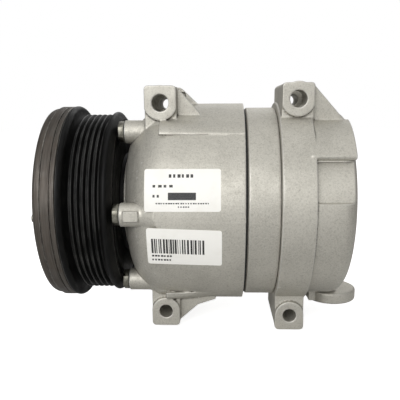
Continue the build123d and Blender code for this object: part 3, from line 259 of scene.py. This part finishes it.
def worn_paint_and_highlight():
    """Paint rubbed thin on an edge, grey steel showing in places; the lighter grey also serves as a painted
    highlight along the rim's crests.
    """
    f = Finish("worn_paint_and_highlight", 0.3, 0.4)
    rubbed = f.noise(14 * MM, detail=3.0)
    f.colour(f.mix(f.ramp(rubbed, 0.38, 0.66), (0.012, 0.012, 0.0115), (0.085, 0.084, 0.08)))
    f.bump(f.noise(0.5 * MM), 0.01 * MM)
    return f.material


def worn_steel():
    """Phosphate rubbed off an edge, down to bright steel in places."""
    f = Finish("worn_steel", 0.8, 0.36)
    rubbed = f.noise(5 * MM, detail=4.0)
    f.colour(f.mix(f.ramp(rubbed, 0.35, 0.68), (0.09, 0.08, 0.07), (0.26, 0.245, 0.22)))
    f.bump(f.noise(0.5 * MM), 0.01 * MM)
    return f.material


def rotor_steel():
    """Phosphated steel of the clutch, brown grey, with turned rings and rust-brown stains."""
    f = Finish("rotor_steel", 0.55, 0.46)
    rings = f.noise(0.5 * MM, detail=3.0, vector=f.stretched(1.0, 0.03, 0.03))
    stains = f.noise(9 * MM, detail=5.0, rough=0.65)
    colour = f.mix(f.ramp(rings, 0.32, 0.7), (0.055, 0.048, 0.041), (0.125, 0.110, 0.094))
    f.colour(f.mix(f.ramp(stains, 0.45, 0.78, 0.0, 0.55), colour, (0.085, 0.062, 0.045)))
    f.roughness(f.ramp(stains, 0.3, 0.7, 0.40, 0.58))
    f.bump(rings, 0.02 * MM)
    return f.material


def rubber(name, tint):
    f = Finish(name, 0.0, 0.62)
    dust = f.noise(1.5 * MM, detail=4.0)
    f.colour(f.mix(f.ramp(dust, 0.45, 0.8), tint, tuple(3.0 * c for c in tint)))
    f.roughness(f.ramp(dust, 0.3, 0.7, 0.55, 0.75))
    f.bump(f.noise(0.3 * MM), 0.02 * MM)
    return f.material


def plastic(name, tint, roughness=0.45):
    """Moulded plastic with a fine spark-eroded grain."""
    f = Finish(name, 0.0, roughness)
    f.colour(f.mix(f.ramp(f.noise(5 * MM), 0.35, 0.7), tint, tuple(1.4 * c for c in tint)))
    f.bump(f.noise(0.25 * MM, detail=1.0), 0.02 * MM)
    return f.material


def winding_copper():
    """Enamelled wire laid in rings round the coil."""
    f = Finish("copper_winding", 0.9, 0.3, Coat_Weight=0.4)
    wave = f.nodes.new("ShaderNodeTexWave")
    wave.bands_direction = "X"
    wave.inputs["Scale"].default_value = 0.31 / (0.8 * MM)
    wave.inputs["Distortion"].default_value = 0.3
    f.link(f.place, wave.inputs["Vector"])
    f.colour(f.mix(wave.outputs["Fac"], (0.30, 0.10, 0.04), (0.66, 0.27, 0.12)))
    f.bump(wave.outputs["Fac"], 0.12 * MM)
    return f.material


def label_paper():
    """White coated paper, slightly warm, with a few handling smudges."""
    f = Finish("label_paper", 0.0, 0.42, Coat_Weight=0.25, Coat_Roughness=0.35)
    smudge = f.noise(9 * MM, detail=5.0)
    f.colour(f.mix(f.ramp(smudge, 0.5, 0.8), (0.97, 0.955, 0.90), (0.90, 0.88, 0.81)))
    f.bump(f.noise(2.5 * MM), 0.03 * MM, 0.6)
    return f.material


def label_ink():
    f = Finish("label_ink", 0.0, 0.5)
    f.colour(f.mix(f.ramp(f.noise(0.5 * MM), 0.4, 0.75), (0.016, 0.016, 0.0155), (0.07, 0.07, 0.067)))
    return f.material


FINISHES = {
    "cast_aluminium": cast_aluminium(),
    "zinc_bolt": zinc_bolt(),
    "black_paint": black_paint(),
    "rotor_steel": rotor_steel(),
    "worn_paint_and_highlight": worn_paint_and_highlight(),
    "worn_steel": worn_steel(),
    "spring_steel": turned_metal("spring_steel", (0.20, 0.20, 0.21), (0.36, 0.36, 0.37), 0.36),
    "bearing_steel": turned_metal("bearing_steel", (0.55, 0.55, 0.57), (0.75, 0.75, 0.77), 0.16),
    "machined_steel": turned_metal("machined_steel", (0.40, 0.40, 0.41), (0.60, 0.60, 0.61), 0.28),
    "piston_alloy": turned_metal("piston_alloy", (0.60, 0.60, 0.61), (0.80, 0.80, 0.81), 0.32),
    "bronze": turned_metal("bronze", (0.42, 0.27, 0.12), (0.65, 0.46, 0.24), 0.3),
    "copper_winding": winding_copper(),
    "connector_plastic": plastic("connector_plastic", (0.024, 0.024, 0.026)),
    "tin_plated": turned_metal("tin_plated", (0.62, 0.62, 0.60), (0.80, 0.80, 0.78), 0.22),
    "seal_rubber": rubber("seal_rubber", (0.014, 0.014, 0.014)),
    "gasket": plastic("gasket", (0.10, 0.11, 0.105), 0.6),
    "ptfe": plastic("ptfe", (0.20, 0.17, 0.13), 0.4),
    "valve_brass": turned_metal("valve_brass", (0.55, 0.40, 0.18), (0.76, 0.60, 0.32), 0.27),
}
for node, obj in frame["nodes"].items():
    obj.data.materials.clear()
    obj.data.materials.append(FINISHES[SLOT_OF[node]])


# ---------------------------------------------------------------- pieces made from CAD nodes
def new_piece(name, mesh, body, material):
    """A finished mesh as a piece that rides on a body and has the given finish."""
    piece = bpy.data.objects.new(name, mesh)
    scene.collection.objects.link(piece)
    mesh.materials.clear()
    mesh.materials.append(material)
    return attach(piece, body)


def welded(node, flat=math.radians(0.4)):
    """A CAD node's shape as a closed mesh whose flat faces are whole."""
    source = bmesh.new()
    source.from_mesh(frame["nodes"][node].data)
    bmesh.ops.remove_doubles(source, verts=source.verts, dist=0.002 * MM)
    bmesh.ops.dissolve_limit(source, angle_limit=flat, verts=source.verts, edges=source.edges)
    source.verts.index_update()
    mesh = bpy.data.meshes.new(node)
    corners = [vert.co[:] for vert in source.verts]
    mesh.from_pydata(corners, [], [[vert.index for vert in face.verts] for face in source.faces])
    source.free()
    return mesh


def applied(piece):
    """Turns a piece's modifiers into its mesh."""
    graph = bpy.context.evaluated_depsgraph_get()
    mesh = bpy.data.meshes.new_from_object(piece.evaluated_get(graph), depsgraph=graph)
    piece.modifiers.clear()
    piece.data = mesh
    return mesh


def shade(mesh, sharp=35.0):
    mesh.polygons.foreach_set("use_smooth", [True] * len(mesh.polygons))
    mesh.set_sharp_from_angle(angle=math.radians(sharp))


def from_node(node, mesh, name):
    piece = new_piece(name, mesh, BODY_OF[node], FINISHES[SLOT_OF[node]])
    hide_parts(node)
    return piece


def casting(node, voxel=0.46 * MM, rounds=2, keep=0.35):
    """A casting's skin, its CAD edges and corners melted into cast radii."""
    piece = from_node(node, welded(node), node + "_skin")
    skin = piece.modifiers.new("skin", "REMESH")
    skin.mode = "VOXEL"
    skin.voxel_size = voxel
    soften = piece.modifiers.new("soften", "SMOOTH")
    soften.factor = 0.5
    soften.iterations = rounds
    thin = piece.modifiers.new("thin", "DECIMATE")
    thin.ratio = keep
    shade(applied(piece), 60.0)
    return piece


def edged(node, width=0.2 * MM, segments=2, angle=28.0, edge_wear_and_highlight=None):
    """A machined or pressed part with its sharp edges broken, and in a second finish there if one is named:
    rubbed wear, on the pulley rim also a painted highlight.
    """
    piece = from_node(node, welded(node), node + "_edged")
    bevel = piece.modifiers.new("edges", "BEVEL")
    bevel.width = width
    bevel.segments = segments
    bevel.limit_method = "ANGLE"
    bevel.angle_limit = math.radians(angle)
    bevel.miter_outer = "MITER_ARC"
    if edge_wear_and_highlight:
        piece.data.materials.append(FINISHES[edge_wear_and_highlight])
        bevel.material = 1
    shade(applied(piece))
    return piece


casting("front_head")
casting("rear_head")
casting("cylinder_block", voxel=0.8 * MM, rounds=2)
# the rim's bevelled edges turn lighter grey: partly rubbed paint, partly a painted highlight on the crests
edged("pulley_rim", 0.2 * MM, edge_wear_and_highlight="worn_paint_and_highlight")
edged("clutch_rotor", 0.2 * MM, edge_wear_and_highlight="worn_steel")
edged("armature_plate", 0.3 * MM, edge_wear_and_highlight="worn_steel")
edged("clutch_hub", 0.3 * MM)
edged("shaft_nut", 0.3 * MM)
edged("through_bolts", 0.2 * MM)
# black paint in place of the coil housing's rotor steel slot: painted shade for the dark gap behind the
# pulley
edged("coil_housing", 0.3 * MM).data.materials[0] = FINISHES["black_paint"]
edged("coil_connector", 0.25 * MM)
edged("relief_valve_body", 0.2 * MM)


def compressed_spring():
    """The relief valve's coil, its inner end on the poppet and its outer end held by the body."""
    coil = bpy.data.objects.new("relief_spring_coil", welded("relief_spring"))
    scene.collection.objects.link(coil)
    coil.data.materials.append(FINISHES["spring_steel"])
    shade(coil.data)
    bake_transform(coil)
    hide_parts("relief_spring")


compressed_spring()


# ---------------------------------------------------------------- labels
LABEL_R = 67.2 * MM                      # the front head's outer wall
LABEL_THICKNESS = 0.14 * MM
INK_THICKNESS = 0.05 * MM
INK_OVERLAP = 0.03 * MM
PAPER_OVERLAP = 0.3 * MM                 # how deep the paper's body reaches into the wall
PAPER_CORNER = 1.4 * MM


def wrapped_patch(build, left, right, top, bottom, low, high, corner=0.0, slant=0.0, step=0.8 * MM):
    """Adds a closed patch that lies on the round wall.

    It runs from left to right along X, from top to bottom as arc length below the level of the axis, and from
    radius low to high. Corners can be rounded, and slant drops the right end.
    """
    rows = max(2, math.ceil((bottom - top) / step)) + 1
    columns = max(2, math.ceil((right - left) / (4 * step))) + 1
    ends = sorted({top + (bottom - top) * r / (rows - 1) for r in range(rows)}
                  | {edge + side * corner * share for share in (0.1, 0.35, 0.7, 1.0) if corner
                     for edge, side in ((top, 1), (bottom, -1))})
    layers = []
    for radius in (low, high):
        grid = []
        for s in ends:
            near_end = max(0.0, corner - min(s - top, bottom - s))
            inset = corner - math.sqrt(max(0.0, corner ** 2 - near_end ** 2))
            row = []
            for c in range(columns):
                x = left + inset + (right - left - 2 * inset) * c / (columns - 1)
                drop = s + slant * (x - left) / (right - left)
                angle = drop / LABEL_R
                row.append(build.verts.new((x, -radius * math.cos(angle), -radius * math.sin(angle))))
            grid.append(row)
        layers.append(grid)
    inner, outer = layers
    for r in range(len(ends) - 1):
        for c in range(columns - 1):
            build.faces.new((outer[r][c], outer[r + 1][c], outer[r + 1][c + 1], outer[r][c + 1]))
            build.faces.new((inner[r][c], inner[r][c + 1], inner[r + 1][c + 1], inner[r + 1][c]))
    rim_in, rim_out = (
        layer[0] + [row[-1] for row in layer[1:]] + layer[-1][-2::-1] + [row[0] for row in layer[-2:0:-1]]
        for layer in layers)
    for k in range(len(rim_in)):
        after = (k + 1) % len(rim_in)
        build.faces.new((rim_in[k], rim_out[k], rim_out[after], rim_in[after]))


def wrapped_piece(name, build, material):
    bmesh.ops.recalc_face_normals(build, faces=build.faces)
    mesh = bpy.data.meshes.new(name)
    build.to_mesh(mesh)
    build.free()
    shade(mesh)
    return new_piece(name, mesh, "housing", material)


class Label:
    """A paper label on the front head, with generic print placed as shares of its width and height."""

    def __init__(self, name, left, right, top, bottom, slant=0.0):
        self.name, self.left, self.right, self.top, self.bottom = name, left, right, top, bottom
        self.slant = slant
        paper = bmesh.new()
        wrapped_patch(paper, left, right, top, bottom, LABEL_R - PAPER_OVERLAP, LABEL_R + LABEL_THICKNESS,
                      corner=PAPER_CORNER, slant=slant)
        wrapped_piece(name + "_paper", paper, FINISHES["label_paper"])
        self.ink = bmesh.new()

    def bar(self, left, right, top, bottom):
        width, height = self.right - self.left, self.bottom - self.top
        lean = self.slant * (right - left)
        drop = self.slant * left
        surface = LABEL_R + LABEL_THICKNESS
        wrapped_patch(self.ink, self.left + left * width, self.left + right * width,
                      self.top + top * height + drop, self.top + bottom * height + drop,
                      surface - INK_OVERLAP, surface + INK_THICKNESS, slant=lean)

    def dashes(self, left, right, top, bottom, count, draw):
        """A line of print as short dashes of uneven length."""
        pitch = (right - left) / count
        for index in range(count):
            length = pitch * draw.uniform(0.45, 0.85)
            self.bar(left + index * pitch, left + index * pitch + length, top, bottom)

    def printed(self):
        wrapped_piece(self.name + "_print", self.ink, FINISHES["label_ink"])


FINISHES["label_paper"] = label_paper()
FINISHES["label_ink"] = label_ink()
draw = random.Random(7)

type_label = Label("type_label", 38.5 * MM, 83.4 * MM, -30.1 * MM, -4.8 * MM)
type_label.dashes(0.32, 0.66, 0.13, 0.21, 6, draw)
type_label.dashes(0.11, 0.40, 0.38, 0.44, 4, draw)
type_label.dashes(0.11, 0.22, 0.61, 0.67, 2, draw)
type_label.bar(0.31, 0.675, 0.56, 0.73)
type_label.dashes(0.15, 0.86, 0.795, 0.825, 22, draw)
type_label.dashes(0.44, 0.60, 0.875, 0.905, 5, draw)
type_label.printed()

stock_label = Label("stock_label", 39.2 * MM, 84.0 * MM, 5.0 * MM, 29.2 * MM, slant=1.6 * MM)
at = 0.06
while at < 0.77:
    stripe = draw.choice((0.009, 0.012, 0.018, 0.026))
    stock_label.bar(at, at + stripe, 0.27, 0.67)
    at += stripe + draw.choice((0.009, 0.012, 0.020))
stock_label.dashes(0.06, 0.34, 0.72, 0.77, 7, draw)
stock_label.dashes(0.06, 0.33, 0.84, 0.89, 7, draw)
stock_label.printed()


# ---------------------------------------------------------------- floor and light
class Studio:
    """Nodes for the stage: pale where the camera sees it, and darker where it lights the compressor."""

    def __init__(self, tree):
        self.nodes, self.links = tree.nodes, tree.links
        self.seen = tree.nodes.new("ShaderNodeLightPath").outputs["Is Camera Ray"]

    def value(self, operation, *parts):
        node = self.nodes.new("ShaderNodeMath")
        node.operation = operation
        for socket, part in zip(node.inputs, parts):
            if isinstance(part, (int, float)):
                socket.default_value = part
            else:
                self.links.new(part, socket)
        return node.outputs["Value"]

    def either(self, lit, seen):
        """seen for the camera, and lit for light that reaches the compressor."""
        return self.value("ADD", self.value("MULTIPLY", self.seen, seen),
                          self.value("MULTIPLY", self.value("SUBTRACT", 1.0, self.seen), lit))


def stage_floor(level, lit=0.66, seen=0.86, glow=0.80):
    """A large pale floor that the lower ears rest on, with a glow that only lifts it to the camera."""
    build = bmesh.new()
    bmesh.ops.create_circle(build, cap_ends=True, segments=96, radius=4.0)
    mesh = bpy.data.meshes.new("floor")
    build.to_mesh(mesh)
    build.free()
    floor = bpy.data.objects.new("floor", mesh)
    floor.location = (0.1, 0, level)
    scene.collection.objects.link(floor)
    material = bpy.data.materials.new("floor")
    material.use_nodes = True
    studio = Studio(material.node_tree)
    shader = studio.nodes["Principled BSDF"]
    shader.inputs["Roughness"].default_value = 0.9
    shade_of_grey = studio.nodes.new("ShaderNodeCombineColor")
    for socket in shade_of_grey.inputs:
        studio.links.new(studio.either(lit, seen), socket)
    studio.links.new(shade_of_grey.outputs["Color"], shader.inputs["Base Color"])
    shader.inputs["Emission Color"].default_value = (1.0, 1.0, 1.0, 1.0)
    studio.links.new(studio.either(0.0, glow), shader.inputs["Emission Strength"])
    mesh.materials.append(material)


def studio_world(base, front, above):
    """White round the camera's view; for lighting, brightest in front and above."""
    world = bpy.data.worlds.new("studio")
    world.use_nodes = True
    studio = Studio(world.node_tree)
    direction = studio.nodes.new("ShaderNodeSeparateXYZ")
    place = studio.nodes.new("ShaderNodeTexCoord").outputs["Generated"]
    studio.links.new(place, direction.inputs["Vector"])
    towards = studio.value("MULTIPLY", direction.outputs["Y"], -1.0)
    facing = studio.value("MULTIPLY", studio.value("MAXIMUM", towards, 0.0), front)
    rising = studio.value("MULTIPLY", studio.value("MAXIMUM", direction.outputs["Z"], 0.0), above)
    light = studio.value("ADD", base, studio.value("ADD", facing, rising))
    studio.links.new(studio.either(light, 1.0), studio.nodes["Background"].inputs["Strength"])
    studio.nodes["Background"].inputs["Color"].default_value = (1.0, 1.0, 1.0, 1.0)
    scene.world = world


def soft_box(name, place, size, power, target=(0.08, 0.0, 0.0)):
    """A large softbox that faces the compressor."""
    data = bpy.data.lights.new(name, "AREA")
    data.shape = "RECTANGLE"
    data.size, data.size_y = size
    data.energy = power
    light = bpy.data.objects.new(name, data)
    light.location = place
    light.rotation_euler = (Vector(place) - Vector(target)).to_track_quat("Z", "Y").to_euler()
    scene.collection.objects.link(light)


stage_floor(cad_box[0].z - 0.0003)
soft_box("key", (-0.32, -1.05, 0.52), (1.0, 0.7), 7.8)
soft_box("top", (0.15, -0.1, 1.2), (1.2, 1.0), 2.8)
soft_box("back", (0.2, 1.0, 0.7), (1.0, 0.6), 2.5)
studio_world(base=0.24, front=0.40, above=0.03)
